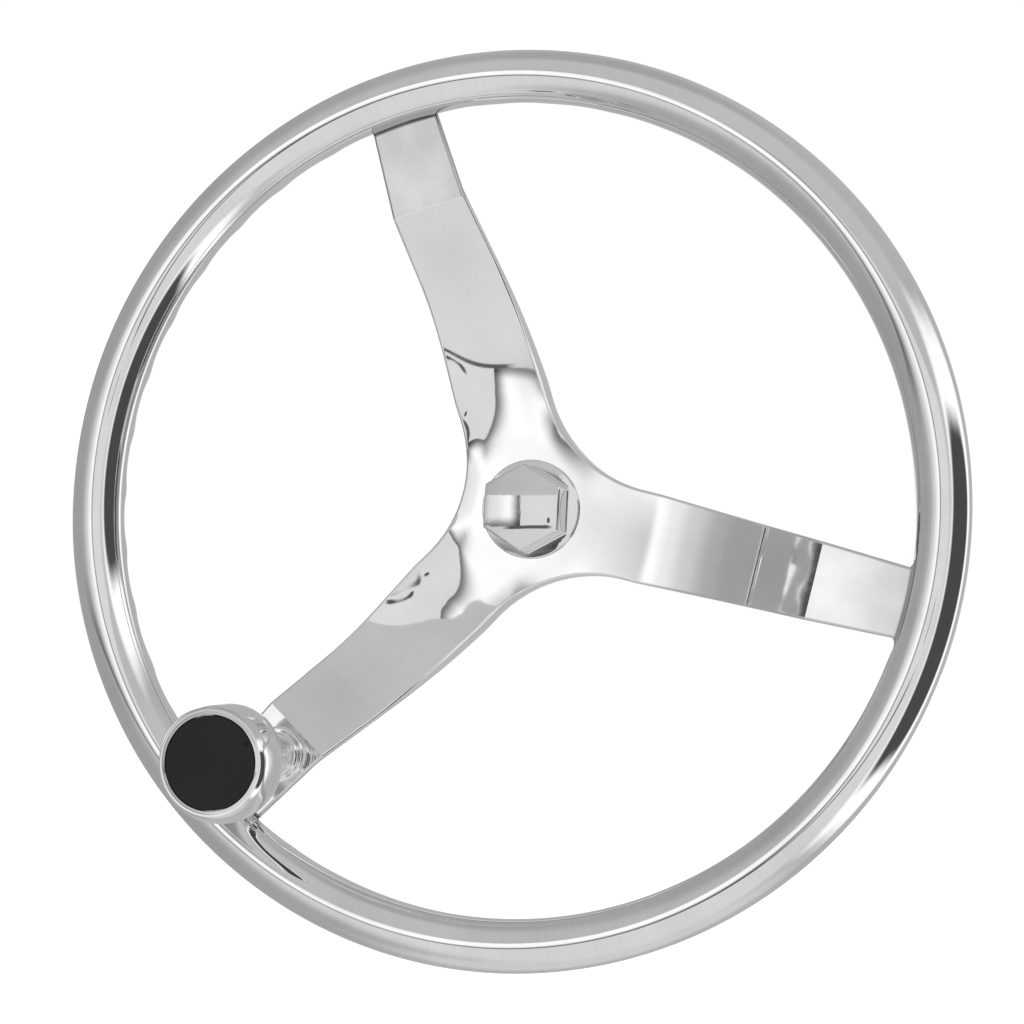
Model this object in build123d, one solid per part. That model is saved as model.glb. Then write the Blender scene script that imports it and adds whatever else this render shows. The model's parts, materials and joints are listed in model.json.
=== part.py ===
"""Three-spoke stainless boat steering wheel with a free-turning control knob.

Millimetres. The wheel turns about the Y axis. The driver sees it from -Y, +Z is up, and the
origin is the middle of the hub's rear face, where the helm's tapered shaft enters.
"""
import os
from math import cos, radians, sin, sqrt, tan

from build123d import *

# ---- driving dimensions ---------------------------------------------------------------------

# rim
RIM_R = 185.4              # centre line of the tube, so 394 mm (15.5 in) overall
TUBE_R = 11.7
TUBE_WALL = 2.0
RIM_Y = -76.0              # the rim's plane lies this far in front of the hub's rear face
GRIP_COUNT = 42            # finger grips pressed into the rear of the rim, on its inner side
GRIP_START = 1.5           # degrees: where the first one lies
GRIP_DEPTH = 1.25
GRIP_TOOL_R = 13.0         # roundness of each grip
GRIP_ANGLE = 44.0          # from the rim's inner side towards its rear
VENT_R = 1.6               # weld vent in the tube behind each tab
JOINT_ANGLE = 287.0        # where the rolled tube's two ends meet
SLEEVE_SPAN = 12.0         # degrees of rim that the backing sleeve covers
SLEEVE_WALL = 1.2

# spider: three arms and the hub, one casting
ARM_ANGLES = {"top": 105.6, "left": 225.6, "right": 345.6}
CREASE_R = 135.2           # radius of the bend between the tab and the arm
CREASE_Y = -69.9           # front face at the bend
TAB_SLOPE = 3.5            # degrees: the tab rises towards the rim
TAB_THICK = 5.0
TAB_END_R = 178.0          # before it is coped to the tube
ARM_SLOPE = 40.6           # degrees: the arm falls back from the bend to the hub
REAR_SLOPE = 41.5
REAR_CREASE_R = 139.0
DISH_R = 85.0              # the long curve from the arm into the hub
HUB_FACE_Y = -28.0
ARM_REAR_Y = -13.0         # back of the arms where they reach the hub
HUB_REAR_Y = -10.0         # back of the casting
HUB_R = 29.0               # thickened middle of the casting
HALF_WIDTH_RIM = 14.8      # half widths of an arm, from the rim inwards
HALF_WIDTH_CREASE = 16.8
HALF_WIDTH_HUB = 20.3
HUB_STATION = 55.0         # where the arm reaches its hub width
WEB_FILLET = 62.0          # the sweep from one arm into the next
SLAB_HALF = 40.0           # half width of each arm before the front view trims it

# turned boss in the middle of the hub, for a 3/4 in shaft with a 1:12 taper
BOSS_R = 17.0
FLANGE_R = 24.0
TAPER_R = 9.525
TAPER_LENGTH = 25.4
TAPER_RATIO = 1.0 / 24.0   # radius lost per millimetre of length
KEYWAY_WIDTH = 4.76
KEYWAY_DEPTH = 2.4
MOUTH_CHAMFER = 1.0
HUB_BEAD = 3.0

# weld bead behind each tab, in its corner with the tube
TAB_BEAD_LEG = 3.6
TAB_BEAD_TOE = 0.6
TAB_BEAD_RISE = 2.4

# capped shaft nut, 5/8-18 thread
THREAD_R = 7.25
NUT_AF = 29.8
NUT_HEIGHT = 13.5
SHAFT_WASHER_R = 14.5
SHAFT_WASHER_HOLE_R = 8.3
SHAFT_WASHER_THICK = 2.5
CAP_AF = 33.4
CAP_HEIGHT = 21.0          # crown above the hub face
CAP_FLANGE_R = 22.1
CAP_FLANGE_THICK = 1.2
CAP_INNER_AF = 30.2
CAP_ROOF = 2.3
CAP_CROWN_R = 50.0
NUT_TURN = -3.0            # how far round the nut happens to be tightened, in degrees
GASKET_THICK = 0.8
GASKET_INNER_R = 17.8
GASKET_OUTER_R = 21.6

# control knob, on the tab of the left arm; heights H_ are above the tab's front face
KNOB_AT = 148.4            # the knob's axis, along the arm from the wheel's axis
KNOB_OFFSET = 2.0          # and beside the arm's centre line
SPINDLE_R = 5.0
JOURNAL_R = 4.0
RUNNING_GAP = 0.05         # radial, bush on journal
END_GAP = 0.3              # axial, between what turns and what stands still
SPINDLE_TAIL = 19.0        # threaded end below the tab's front face
BASE_FLANGE_R = 12.0
BASE_FLANGE_TOP = 3.0
COLLAR_R = 9.2
GROOVE_R = 8.5
H_COLLAR = 13.0
H_JOURNAL = 65.6
H_FACE = 83.4
BUSH_R = 6.2
BUSH_FLANGE_R = 8.0
BUSH_FLANGE = 1.2
BUSH_LENGTH = 15.0
NECK_R = 10.2
NECK_RING = 6.0
SHELL_WALL = 1.8
INSERT_R = 19.8
INSERT_THICK = 2.0
PAD_THICK = 0.8
PAD_R = 17.5
POCKET_R = 9.6
SCREW_R = 2.5
SCREW_HEAD_R = 4.6
SCREW_HEAD = 3.2
SCREW_DEPTH = 11.0
SOCKET_AF = 4.0
KEEPER_R = 7.4
KEEPER_THICK = 1.2
POST_NUT_AF = 16.0
POST_NUT_HEIGHT = 6.5
POST_WASHER_R = 10.0
POST_WASHER_THICK = 2.0
LOCK_WASHER_R = 8.2
LOCK_WASHER_THICK = 1.9
LOCK_WASHER_SPLIT = 1.2
SET_SCREW_R = 2.0
SET_SCREW_H = 6.3
SET_SCREW_ANGLE = -25.0

# outline of the knob's shell: (radius, height above the tab's front face)
SHELL_OUTLINE = [(NECK_R, 19.3), (10.6, 31.0), (14.8, 45.0), (21.6, 56.5), (25.0, 68.5), (23.6, 78.2)]
SHELL_LIP = (20.9, H_FACE)


# ---- shared helpers --------------------------------------------------------------------------

def turned(outline):
    """A solid of revolution about Y from a closed outline of (radius, y) points."""
    return revolve(make_face(Polyline(*outline, close=True)), Axis.Y)


def ring(outer, inner, y0, y1):
    """A plain ring about Y."""
    return turned([(inner, y0), (outer, y0), (outer, y1), (inner, y1)])


def rod(radius, y0, y1):
    """A plain cylinder about Y."""
    return turned([(0, y0), (radius, y0), (radius, y1), (0, y1)])


def radial_rod(radius, length):
    """A cylinder that runs out along +X from the origin."""
    return Rot(0, 90, 0) * Cylinder(radius, length, align=(Align.CENTER, Align.CENTER, Align.MIN))


def hexagon(across_flats, y0, y1):
    """A hexagonal prism along Y with its flats left and right."""
    face = RegularPolygon(across_flats / sqrt(3), 6, rotation=30 + NUT_TURN)
    return along_y(face, y0, y1)


def along_y(sketch, y0, y1):
    """Extrude a sketch drawn in (x, z) from y0 to y1."""
    plane = Plane(origin=(0, y0, 0), x_dir=(1, 0, 0), z_dir=(0, -1, 0))
    return extrude(plane * sketch, -(y1 - y0))


def about_y(part, degrees):
    """Turn a part about Y so that +X swings towards +Z."""
    return Rot(0, -degrees, 0) * part


def polar(radius, degrees):
    return radius * cos(radians(degrees)), radius * sin(radians(degrees))


def write(name, part):
    part.label = name
    export_step(part, f"parts/{name}.step")


# ---- rim -------------------------------------------------------------------------------------

def tube_section(radius):
    """The tube's round section, drawn in (radius, y)."""
    return Pos(RIM_R, RIM_Y) * Circle(radius)


def full_rim(radius):
    """A whole ring of tube, whose seam lies between two grips."""
    return about_y(revolve(tube_section(radius), Axis.Y), GRIP_START + 180 / GRIP_COUNT)


def grip_tools():
    """Round tools that press the finger grips into the rear of the rim's inner side."""
    reach = TUBE_R - GRIP_DEPTH + GRIP_TOOL_R
    lean = radians(GRIP_ANGLE)
    radius = RIM_R - reach * cos(lean)
    height = RIM_Y + reach * sin(lean)
    tools = []
    for index in range(GRIP_COUNT):
        x, z = polar(radius, GRIP_START + index * 360 / GRIP_COUNT)
        tools.append(Pos(x, height, z) * Sphere(GRIP_TOOL_R))
    return tools


def vent(angle):
    """A small hole through the tube's inner wall, behind a tab."""
    start = RIM_R - TUBE_R - 1
    tool = Pos(start, RIM_Y + 5.0, 0) * radial_rod(VENT_R, TUBE_R)
    return about_y(tool, angle)


def rim_tube():
    tube = full_rim(TUBE_R) - grip_tools()
    tube -= full_rim(TUBE_R - TUBE_WALL)
    return tube - [vent(angle) for angle in ARM_ANGLES.values()]


def rim_backing_sleeve():
    """A short sleeve inside the tube that backs the weld between its two ends."""
    outer = TUBE_R - TUBE_WALL
    section = tube_section(outer) - tube_section(outer - SLEEVE_WALL)
    sleeve = revolve(section, Axis.Y, revolution_arc=SLEEVE_SPAN)
    return about_y(sleeve, JOINT_ANGLE + SLEEVE_SPAN / 2)


# ---- spider ----------------------------------------------------------------------------------

def arm_profile():
    """Side view of one arm in (radius, y): tab, bend, sloping arm and the curve into the hub."""
    inner = -10.0
    tab_rise = tan(radians(TAB_SLOPE))
    front, rear = radians(ARM_SLOPE), radians(REAR_SLOPE)
    rear_crease_y = CREASE_Y + TAB_THICK - (REAR_CREASE_R - CREASE_R) * tab_rise

    def dish(crease_r, crease_y, slope, level):
        """Where the sloping line and the flat part meet the dish's arc."""
        corner = crease_r - (level - crease_y) / tan(slope)
        reach = DISH_R * tan(slope / 2)
        return (corner + reach * cos(slope), level - reach * sin(slope)), (corner - reach, level)

    front_high, front_low = dish(CREASE_R, CREASE_Y, front, HUB_FACE_Y)
    rear_high, rear_low = dish(REAR_CREASE_R, rear_crease_y, rear, ARM_REAR_Y)
    tip_front = (TAB_END_R, CREASE_Y - (TAB_END_R - CREASE_R) * tab_rise)
    tip_rear = (TAB_END_R, tip_front[1] + TAB_THICK)
    edges = [
        Line((inner, HUB_FACE_Y), front_low),
        TangentArc(front_low, front_high, tangent=(1, 0)),
        Line(front_high, (CREASE_R, CREASE_Y)),
        Line((CREASE_R, CREASE_Y), tip_front),
        Line(tip_front, tip_rear),
        Line(tip_rear, (REAR_CREASE_R, rear_crease_y)),
        Line((REAR_CREASE_R, rear_crease_y), rear_high),
        TangentArc(rear_low, rear_high, tangent=(1, 0)),
        Line(rear_low, (inner, ARM_REAR_Y)),
        Line((inner, ARM_REAR_Y), (inner, HUB_FACE_Y)),
    ]
    return make_face(edges)


def arm_slab(angle):
    """The side view given width, wide enough to fill the webs beside the hub."""
    slab = extrude(arm_profile(), SLAB_HALF, both=True)
    return about_y(slab, angle)


def arm_outline(angle):
    """Front view of one arm, drawn along +X and turned into place."""
    half = [
        (0, HALF_WIDTH_HUB),
        (HUB_STATION, HALF_WIDTH_HUB),
        (CREASE_R, HALF_WIDTH_CREASE),
        (TAB_END_R, HALF_WIDTH_RIM),
    ]
    mirrored = [(x, -z) for x, z in reversed(half)]
    return Rot(0, 0, angle) * make_face(Polyline(*half, *mirrored, close=True))


def spider_outline():
    """Front view of the whole casting, with the sweeps between the arms."""
    arms = [arm_outline(angle) for angle in ARM_ANGLES.values()]
    plan = arms[0] + arms[1] + arms[2]
    inner_corners = plan.vertices().filter_by(lambda v: sqrt(v.X**2 + v.Y**2) < HUB_R)
    return fillet(inner_corners, WEB_FILLET)


def at_knob(part):
    """Move a part from the wheel's axis to the knob's axis."""
    return about_y(Pos(KNOB_AT, 0, KNOB_OFFSET) * part, ARM_ANGLES["left"])


def post_hole():
    return at_knob(rod(SPINDLE_R, CREASE_Y - 10, CREASE_Y + 10))


def spider():
    slabs = [arm_slab(angle) for angle in ARM_ANGLES.values()]
    body = slabs[0] + slabs[1] + slabs[2]
    body &= along_y(spider_outline(), RIM_Y - 5, 0)
    body += rod(HUB_R, HUB_FACE_Y, HUB_REAR_Y)
    body -= rod(BOSS_R, HUB_FACE_Y - 1, HUB_REAR_Y + 1)
    body -= full_rim(TUBE_R)
    return body - post_hole()


def tab_weld(angle, casting):
    """A bead behind a tab, in the corner between the tab's rear face and the tube."""
    rear = CREASE_Y + TAB_THICK - (TAB_END_R - CREASE_R) * tan(radians(TAB_SLOPE))
    corner = RIM_R - sqrt(TUBE_R**2 - (rear - RIM_Y) ** 2)
    toe, far = corner - TAB_BEAD_LEG, corner + TAB_BEAD_LEG
    section = Polyline(
        (toe, rear - 1), (toe, rear + TAB_BEAD_TOE), (corner, rear + TAB_BEAD_RISE),
        (far, rear + TAB_BEAD_RISE + TAB_BEAD_TOE), (far, rear - 1), close=True,
    )
    bead = about_y(extrude(make_face(section), HALF_WIDTH_RIM - 1, both=True), angle)
    bead = bead - full_rim(TUBE_R) - casting
    return bead.solids().sort_by(SortBy.VOLUME)[-1]


# ---- hub boss and shaft nut ------------------------------------------------------------------

def hub_boss():
    small_r = TAPER_R - TAPER_LENGTH * TAPER_RATIO
    mouth_r = TAPER_R + MOUTH_CHAMFER
    boss = turned([
        (small_r, HUB_FACE_Y),
        (BOSS_R, HUB_FACE_Y),
        (BOSS_R, HUB_REAR_Y),
        (FLANGE_R, HUB_REAR_Y),
        (FLANGE_R, -MOUTH_CHAMFER),
        (FLANGE_R - MOUTH_CHAMFER, 0),
        (mouth_r, 0),
        (TAPER_R - MOUTH_CHAMFER * TAPER_RATIO, -MOUTH_CHAMFER),
        (small_r, -TAPER_LENGTH),
    ])
    depth = TAPER_R + KEYWAY_DEPTH
    keyway = Pos(0, -TAPER_LENGTH / 2, depth / 2) * Box(KEYWAY_WIDTH, TAPER_LENGTH + 2, depth)
    return boss - keyway


def hub_weld():
    """The bead between the boss's flange and the back of the casting."""
    return turned([
        (FLANGE_R, HUB_REAR_Y),
        (FLANGE_R + HUB_BEAD, HUB_REAR_Y),
        (FLANGE_R + HUB_BEAD * 0.55, HUB_REAR_Y + HUB_BEAD * 0.55),
        (FLANGE_R, HUB_REAR_Y + HUB_BEAD),
    ])


def shaft_washer():
    return ring(SHAFT_WASHER_R, SHAFT_WASHER_HOLE_R, HUB_FACE_Y - SHAFT_WASHER_THICK, HUB_FACE_Y)


def nut_core():
    """The threaded nut inside the cap."""
    seat = HUB_FACE_Y - SHAFT_WASHER_THICK
    top = seat - NUT_HEIGHT
    nut = hexagon(NUT_AF, top, seat)
    corner = NUT_AF / sqrt(3)
    bevel = (corner - NUT_AF / 2) * tan(radians(30))
    trim = turned([
        (0, top), (NUT_AF / 2, top), (corner, top + bevel),
        (corner, seat - bevel), (NUT_AF / 2, seat), (0, seat),
    ])
    return (nut & trim) - rod(THREAD_R, top - 1, seat + 1)


def cap_gasket():
    return ring(GASKET_OUTER_R, GASKET_INNER_R, HUB_FACE_Y - GASKET_THICK, HUB_FACE_Y)


def cap_shell():
    """Pressed hexagonal cap with a round flange and a crowned top."""
    seat = HUB_FACE_Y - GASKET_THICK
    crown = HUB_FACE_Y - CAP_HEIGHT
    body = hexagon(CAP_AF, crown, seat)
    body &= Pos(0, crown + CAP_CROWN_R, 0) * Sphere(CAP_CROWN_R)
    edge = CAP_FLANGE_THICK / 3
    body += turned([
        (0, seat), (CAP_FLANGE_R, seat), (CAP_FLANGE_R, seat - CAP_FLANGE_THICK + edge),
        (CAP_FLANGE_R - edge, seat - CAP_FLANGE_THICK), (0, seat - CAP_FLANGE_THICK),
    ])
    cavity = hexagon(CAP_INNER_AF, crown + CAP_ROOF + 1.5, seat + 1)
    return body - cavity


# ---- control knob ----------------------------------------------------------------------------

def tab_y():
    """Front face of the tab at the knob's axis."""
    return CREASE_Y - (KNOB_AT - CREASE_R) * tan(radians(TAB_SLOPE))


def up(height):
    """Y of a point this high above the tab's front face, towards the driver."""
    return tab_y() - height


def post_base(casting):
    """Flanged collar that stands on the tab and holds the spindle upright."""
    groove_low, groove_high = H_COLLAR - 4.0, H_COLLAR - 3.0
    collar = turned([
        (SPINDLE_R, up(-1)), (BASE_FLANGE_R, up(-1)), (BASE_FLANGE_R, up(BASE_FLANGE_TOP - 0.8)),
        (BASE_FLANGE_R - 0.8, up(BASE_FLANGE_TOP)), (COLLAR_R, up(BASE_FLANGE_TOP)),
        (COLLAR_R, up(groove_low)), (GROOVE_R, up(groove_low)),
        (GROOVE_R, up(groove_high)), (COLLAR_R, up(groove_high)),
        (COLLAR_R, up(H_COLLAR - 0.6)), (COLLAR_R - 0.6, up(H_COLLAR)), (JOURNAL_R, up(H_COLLAR)),
        (JOURNAL_R, up(H_COLLAR - 1)), (SPINDLE_R, up(H_COLLAR - 1)),
    ])
    return at_knob(collar - set_screw_tool(BASE_FLANGE_R)) - casting


def set_screw_tool(length_to):
    """The set screw's hole, from the spindle out to the given radius, about the knob's axis."""
    tool = radial_rod(SET_SCREW_R, length_to - SPINDLE_R)
    return about_y(Pos(SPINDLE_R, up(SET_SCREW_H), 0) * tool, SET_SCREW_ANGLE - ARM_ANGLES["left"])


def post_set_screw():
    screw = set_screw_tool(COLLAR_R - 0.5)
    socket_start = COLLAR_R - 2.3
    socket = Pos(socket_start, up(SET_SCREW_H), 0) * Rot(0, 90, 0) * extrude(RegularPolygon(1.1, 6), 3)
    return at_knob(screw - about_y(socket, SET_SCREW_ANGLE - ARM_ANGLES["left"]))


def post_spindle():
    """Shoulder stud: threaded tail through the tab, journal for the bushes, tapped end."""
    stud = turned([
        (0, up(-SPINDLE_TAIL)), (SPINDLE_R - 0.8, up(-SPINDLE_TAIL)), (SPINDLE_R, up(-SPINDLE_TAIL + 0.8)),
        (SPINDLE_R, up(H_COLLAR - 1)), (JOURNAL_R, up(H_COLLAR - 1)),
        (JOURNAL_R, up(H_JOURNAL)), (0, up(H_JOURNAL)),
    ])
    return at_knob(stud - rod(SCREW_R, up(H_JOURNAL + 1), up(H_JOURNAL - SCREW_DEPTH)))


def post_washer(casting):
    """Washer that takes up the slope of the tab's rear face."""
    low = -TAB_THICK - POST_WASHER_THICK
    blank = ring(POST_WASHER_R, SPINDLE_R + 0.2, up(-TAB_THICK + 1), up(low))
    return (at_knob(blank) - casting).solids().sort_by(Axis.Y)[-1]


def post_lock_washer():
    low = -TAB_THICK - POST_WASHER_THICK
    washer = ring(LOCK_WASHER_R, SPINDLE_R + 0.2, up(low), up(low - LOCK_WASHER_THICK))
    middle = up(low - LOCK_WASHER_THICK / 2)
    split = Pos(LOCK_WASHER_R, middle, 0) * Box(LOCK_WASHER_R, 2 * LOCK_WASHER_THICK, LOCK_WASHER_SPLIT)
    return at_knob(washer - split)


def post_nut():
    seat = -TAB_THICK - POST_WASHER_THICK - LOCK_WASHER_THICK
    near, far = up(seat), up(seat - POST_NUT_HEIGHT)
    corner = POST_NUT_AF / sqrt(3)
    bevel = (corner - POST_NUT_AF / 2) * tan(radians(30))
    trim = turned([
        (0, near), (POST_NUT_AF / 2, near), (corner, near + bevel), (corner, far - bevel),
        (POST_NUT_AF / 2, far), (0, far),
    ])
    return at_knob((hexagon(POST_NUT_AF, near, far) & trim) - rod(SPINDLE_R, near - 1, far + 1))


def thrust_washer():
    return at_knob(ring(COLLAR_R - 0.9, JOURNAL_R + RUNNING_GAP, up(H_COLLAR + 1), up(H_COLLAR)))


def keeper_washer():
    return at_knob(ring(KEEPER_R, SCREW_R + 0.1, up(H_JOURNAL + KEEPER_THICK), up(H_JOURNAL)))


def keeper_screw():
    seat = H_JOURNAL + KEEPER_THICK
    top = seat + SCREW_HEAD
    tip = H_JOURNAL - SCREW_DEPTH + 1
    screw = turned([
        (0, up(tip)), (SCREW_R, up(tip)), (SCREW_R, up(seat)), (SCREW_HEAD_R, up(seat)),
        (SCREW_HEAD_R, up(top - 0.8)), (SCREW_HEAD_R - 0.8, up(top)), (0, up(top)),
    ])
    return at_knob(screw - hexagon(SOCKET_AF, up(top + 1), up(top - 2)))


def bush(flange_low, flange_high, far):
    """Flanged acetal bush, from its flange to its far end."""
    bore = JOURNAL_R + RUNNING_GAP
    return at_knob(turned([
        (bore, up(flange_low)), (BUSH_FLANGE_R, up(flange_low)), (BUSH_FLANGE_R, up(flange_high)),
        (BUSH_R, up(flange_high)), (BUSH_R, up(far)), (bore, up(far)),
    ]))


def lower_end():
    return H_COLLAR + 1 + END_GAP


def upper_end():
    return H_JOURNAL - END_GAP


def lower_bush():
    return bush(lower_end(), lower_end() + BUSH_FLANGE, lower_end() + BUSH_LENGTH)


def upper_bush():
    return bush(upper_end(), upper_end() - BUSH_FLANGE, upper_end() - BUSH_LENGTH)


def knob_neck_ring():
    """Bright ring that finishes the knob's lower end, round the lower bush's flange."""
    low, high = lower_end(), lower_end() + NECK_RING - 1
    return at_knob(turned([
        (BUSH_FLANGE_R, up(low)), (NECK_R - 1.0, up(low)),
        (NECK_R - 0.4, up(low + 0.6)), (NECK_R - 0.4, up(high)),
        (BUSH_R, up(high)), (BUSH_R, up(low + BUSH_FLANGE)), (BUSH_FLANGE_R, up(low + BUSH_FLANGE)),
    ]))


def shell_curves():
    """Outer and inner outline of the shell, as smooth curves in (radius, y)."""
    outer_points = [(r, up(h)) for r, h in SHELL_OUTLINE + [SHELL_LIP]]
    inner_top = H_FACE - INSERT_THICK - PAD_THICK
    widest = SHELL_OUTLINE[-1][0]
    inner = SHELL_OUTLINE[:-1] + [(widest, inner_top)]
    inner_points = [(r - SHELL_WALL, up(h)) for r, h in inner]
    outer_curve = Spline(*outer_points, tangents=[(0, -1), (-0.75, -0.65)])
    inner_curve = Spline(*inner_points, tangents=[(0, -1), (-0.3, -0.95)])
    return outer_curve, inner_curve


def knob_shell():
    """Spun stainless shell, mushroom shaped, open at the top for the insert."""
    outer, inner = shell_curves()
    lip, low = outer @ 1, outer @ 0
    inner_low, inner_high = inner @ 0, inner @ 1
    seat = (INSERT_R + 0.05, up(H_FACE))
    step = (INSERT_R + 0.05, inner_high.Y)
    edges = [
        outer, Line(lip, seat), Line(seat, step), Line(step, inner_high), inner, Line(inner_low, low),
    ]
    return at_knob(revolve(make_face(edges), Axis.Y))


def knob_core():
    """Moulded core that fills the shell and holds both bushes."""
    _, inner = shell_curves()
    inner_low, inner_high = inner @ 0, inner @ 1
    flange_low = upper_end() - BUSH_FLANGE
    points = [
        inner_high, (POCKET_R, inner_high.Y), (POCKET_R, up(upper_end())),
        (BUSH_FLANGE_R, up(upper_end())), (BUSH_FLANGE_R, up(flange_low)),
        (BUSH_R, up(flange_low)), (BUSH_R, inner_low.Y), inner_low,
    ]
    return at_knob(revolve(make_face([inner, Polyline(*points)]), Axis.Y))


def insert_pad():
    top = H_FACE - INSERT_THICK
    return at_knob(rod(PAD_R, up(top), up(top - PAD_THICK)))


def knob_insert():
    """Flush disc that covers the end of the spindle."""
    low = H_FACE - INSERT_THICK
    return at_knob(turned([
        (0, up(low)), (INSERT_R, up(low)), (INSERT_R, up(H_FACE - 0.3)),
        (INSERT_R - 0.3, up(H_FACE)), (0, up(H_FACE)),
    ]))


# ---- build -----------------------------------------------------------------------------------

def build():
    casting = spider()
    nodes = {
        "rim_tube": rim_tube(),
        "rim_backing_sleeve": rim_backing_sleeve(),
        "spider": casting,
        "hub_boss": hub_boss(),
        "hub_weld": hub_weld(),
        "shaft_washer": shaft_washer(),
        "nut_core": nut_core(),
        "cap_gasket": cap_gasket(),
        "cap_shell": cap_shell(),
        "post_base": post_base(casting),
        "post_set_screw": post_set_screw(),
        "post_spindle": post_spindle(),
        "post_washer": post_washer(casting),
        "post_lock_washer": post_lock_washer(),
        "post_nut": post_nut(),
        "thrust_washer": thrust_washer(),
        "keeper_washer": keeper_washer(),
        "keeper_screw": keeper_screw(),
        "lower_bush": lower_bush(),
        "upper_bush": upper_bush(),
        "knob_neck_ring": knob_neck_ring(),
        "knob_shell": knob_shell(),
        "knob_core": knob_core(),
        "insert_pad": insert_pad(),
        "knob_insert": knob_insert(),
    }
    for side, angle in ARM_ANGLES.items():
        nodes[f"tab_weld_{side}"] = tab_weld(angle, casting)
    return nodes


os.makedirs("parts", exist_ok=True)
for node, solid in build().items():
    write(node, solid)
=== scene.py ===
import json
from math import atan2, cos, degrees, hypot, pi, radians, sin, sqrt, tan

import bmesh
import bpy
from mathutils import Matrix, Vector, noise


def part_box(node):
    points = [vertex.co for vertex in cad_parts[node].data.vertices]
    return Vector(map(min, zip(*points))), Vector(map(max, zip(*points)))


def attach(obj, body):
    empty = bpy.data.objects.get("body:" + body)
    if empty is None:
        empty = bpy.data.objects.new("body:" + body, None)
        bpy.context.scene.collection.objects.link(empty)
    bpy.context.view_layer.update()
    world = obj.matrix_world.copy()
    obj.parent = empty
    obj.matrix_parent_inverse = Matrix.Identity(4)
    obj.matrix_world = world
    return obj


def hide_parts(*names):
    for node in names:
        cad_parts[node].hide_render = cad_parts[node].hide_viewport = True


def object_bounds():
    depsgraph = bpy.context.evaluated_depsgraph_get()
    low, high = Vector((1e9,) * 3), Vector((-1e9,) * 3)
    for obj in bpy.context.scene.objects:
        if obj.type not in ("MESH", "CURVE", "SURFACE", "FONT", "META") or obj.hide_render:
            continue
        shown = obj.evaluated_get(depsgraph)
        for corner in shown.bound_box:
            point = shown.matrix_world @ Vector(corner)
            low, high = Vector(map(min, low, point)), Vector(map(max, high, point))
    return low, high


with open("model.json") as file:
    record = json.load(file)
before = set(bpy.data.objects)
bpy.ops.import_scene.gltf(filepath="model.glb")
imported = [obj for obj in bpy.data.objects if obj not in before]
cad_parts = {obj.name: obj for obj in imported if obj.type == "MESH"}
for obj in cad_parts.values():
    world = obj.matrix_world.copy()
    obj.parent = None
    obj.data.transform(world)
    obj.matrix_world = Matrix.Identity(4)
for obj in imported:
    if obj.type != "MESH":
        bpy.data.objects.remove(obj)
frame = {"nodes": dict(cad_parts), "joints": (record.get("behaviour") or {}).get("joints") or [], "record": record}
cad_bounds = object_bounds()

MM = 0.001


def box_mm(node):
    low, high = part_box(node)
    return low / MM, high / MM


# ---- sizes from the frame ---------------------------------------------------------------------

RIM_LOW, RIM_HIGH = box_mm("rim_tube")
TUBE_R = (RIM_HIGH.y - RIM_LOW.y) / 2
RIM_R = (RIM_HIGH.x - RIM_LOW.x) / 2 - TUBE_R
RIM_Y = (RIM_HIGH.y + RIM_LOW.y) / 2
HUB_FACE_Y = box_mm("hub_boss")[0].y
BOSS_FLANGE_R = box_mm("hub_boss")[1].x
KNOB_AXIS = Vector(frame["joints"][0]["pos_m"]) / MM

# ---- sizes of the spider, as in the CAD -------------------------------------------------------

ARM_ANGLES = {"top": 105.6, "left": 225.6, "right": 345.6}
CREASE_R, CREASE_Y = 135.2, -69.9
TAB_SLOPE, TAB_THICK, TAB_END_R = 3.5, 5.0, 178.0
ARM_SLOPE, REAR_SLOPE, REAR_CREASE_R = 40.6, 41.5, 139.0
DISH_R = 85.0
ARM_REAR_Y, HUB_REAR_Y, HUB_R, BOSS_R = -13.0, -10.0, 29.0, 17.0
HALF_WIDTHS = [(55.0, 20.3), (CREASE_R, 16.8), (TAB_END_R + 4, 14.6)]
WEB_R = 62.0

# The hub's front isn't quite flat: it is hollow, leans on its left side, and its webs' edges are
# buffed round. Each fades between the two distances from the axis.
HOLLOW_R, HOLLOW_FADE, HOLLOW_BEND = 27.0, (58.0, 104.0), 0.021
LEAN_IN, LEAN_OUT, LEAN = (36.0, 60.0), (66.0, 112.0), 0.050
WEB_AT = (47.5, 82.3)      # middle of a web's arc, along and beside an arm
ROLL_WIDE, ROLL_BEND, ROLL_FADE = 9.0, 0.022, (38.0, 64.0)

EDGE_R = 1.1               # rounding along the arms' front edges
REAR_EDGE_R = 1.4
BEND_R = 0.35              # half length of the crisp bend's own rounding

# ---- finger grips -----------------------------------------------------------------------------

GRIP_COUNT, GRIP_START = 42, 1.5
GRIP_DEPTH = 2.2
GRIP_SOFTNESS = 0.12
GRIP_FADE_IN, GRIP_FADE_OUT = (2.0, 22.0), (70.0, 100.0)


# ---- small helpers ----------------------------------------------------------------------------

def smooth_step(low, high, value):
    share = min(max((value - low) / (high - low), 0.0), 1.0)
    return share * share * (3 - 2 * share)


def spread(low, high, count):
    """Evenly spaced numbers from low to high, both included."""
    return [low + (high - low) * k / (count - 1) for k in range(count)]


def between(table, value):
    """Straight-line reading of a table of (key, value) pairs."""
    if value <= table[0][0]:
        return table[0][1]
    for (a, low), (b, high) in zip(table, table[1:]):
        if value <= b:
            return low + (high - low) * (value - a) / (b - a)
    return table[-1][1]


def on_wheel(along, beside, y, angle):
    """A point given along and beside a radius of the wheel at that angle."""
    turn = radians(angle)
    return (along * cos(turn) - beside * sin(turn), y, along * sin(turn) + beside * cos(turn))


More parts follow.
